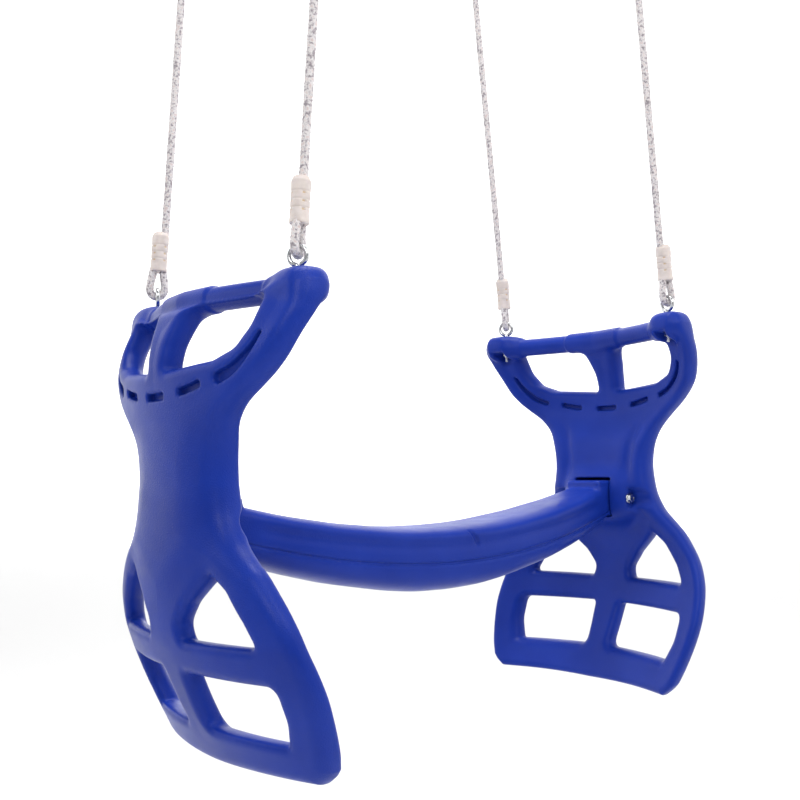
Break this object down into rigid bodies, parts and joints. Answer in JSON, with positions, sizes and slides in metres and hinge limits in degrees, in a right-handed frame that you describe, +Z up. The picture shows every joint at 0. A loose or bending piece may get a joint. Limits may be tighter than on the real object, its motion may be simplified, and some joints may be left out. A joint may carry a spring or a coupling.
{
  "type": "glider swing",
  "caption": "Glider swing for two riders: bowed end panels with hand grips and foot rests, a sagging moulded seat, and ropes to steel hanging rings.",
  "frame": {"origin": "middle of the four hanging rings' centres", "axes": "+X along the seat, +Y across it, +Z up"},
  "size_m": [0.9092, 0.437, 1.3838],
  "materials": {
    "blue_plastic": "fine pebble, soft sheen",
    "rope_fibre": "braided",
    "ferrule_plastic": "moulded, slightly translucent",
    "zinc_plated_steel": "bright zinc"
  },
  "bodies": {
    "hangers": {"hang_ring_left_near": "zinc_plated_steel", "hang_ring_left_far": "zinc_plated_steel", "hang_ring_right_near": "zinc_plated_steel", "hang_ring_right_far": "zinc_plated_steel"},
    "left_ropes": {"rope_left_near": "rope_fibre", "lower_ferrule_left_near": "ferrule_plastic", "upper_ferrule_left_near": "ferrule_plastic", "rope_left_far": "rope_fibre", "lower_ferrule_left_far": "ferrule_plastic", "upper_ferrule_left_far": "ferrule_plastic"},
    "glider": {"end_panel_left": "blue_plastic", "end_panel_right": "blue_plastic", "seat_plank": "blue_plastic", "seat_sleeve_left": "zinc_plated_steel", "seat_bolt_left": "zinc_plated_steel", "seat_washers_left": "zinc_plated_steel", "seat_lock_nut_left": "zinc_plated_steel", "seat_sleeve_right": "zinc_plated_steel", "seat_bolt_right": "zinc_plated_steel", "seat_washers_right": "zinc_plated_steel", "seat_lock_nut_right": "zinc_plated_steel", "eye_bolt_left_near": "zinc_plated_steel", "eye_washer_left_near": "zinc_plated_steel", "eye_lock_nut_left_near": "zinc_plated_steel", "eye_bolt_left_far": "zinc_plated_steel", "eye_washer_left_far": "zinc_plated_steel", "eye_lock_nut_left_far": "zinc_plated_steel", "eye_bolt_right_near": "zinc_plated_steel", "eye_washer_right_near": "zinc_plated_steel", "eye_lock_nut_right_near": "zinc_plated_steel", "eye_bolt_right_far": "zinc_plated_steel", "eye_washer_right_far": "zinc_plated_steel", "eye_lock_nut_right_far": "zinc_plated_steel"},
    "right_ropes": {"rope_right_near": "rope_fibre", "lower_ferrule_right_near": "ferrule_plastic", "upper_ferrule_right_near": "ferrule_plastic", "rope_right_far": "rope_fibre", "lower_ferrule_right_far": "ferrule_plastic", "upper_ferrule_right_far": "ferrule_plastic"}
  },
  "joints": [
    {"name": "left_ropes_swing", "type": "hinge", "parent": "hangers", "child": "left_ropes", "pos_m": [-0.29583, 0, -0.019], "axis": [0, 1, 0], "range_deg": [-20, 20]},
    {"name": "glider_tilt", "type": "hinge", "parent": "left_ropes", "child": "glider", "pos_m": [-0.3558, 0, -0.7338], "axis": [0, 1, 0], "range_deg": [-17, 17]},
    {"name": "right_ropes_swing", "type": "hinge", "parent": "glider", "child": "right_ropes", "pos_m": [0.3558, 0, -0.7338], "axis": [0, 1, 0], "range_deg": [-17, 17]}
  ],
  "couplings": [
    {"joint": "glider_tilt", "follows": "left_ropes_swing", "ratio": -0.83145},
    {"joint": "right_ropes_swing", "follows": "left_ropes_swing", "ratio": 0.83145}
  ]
}
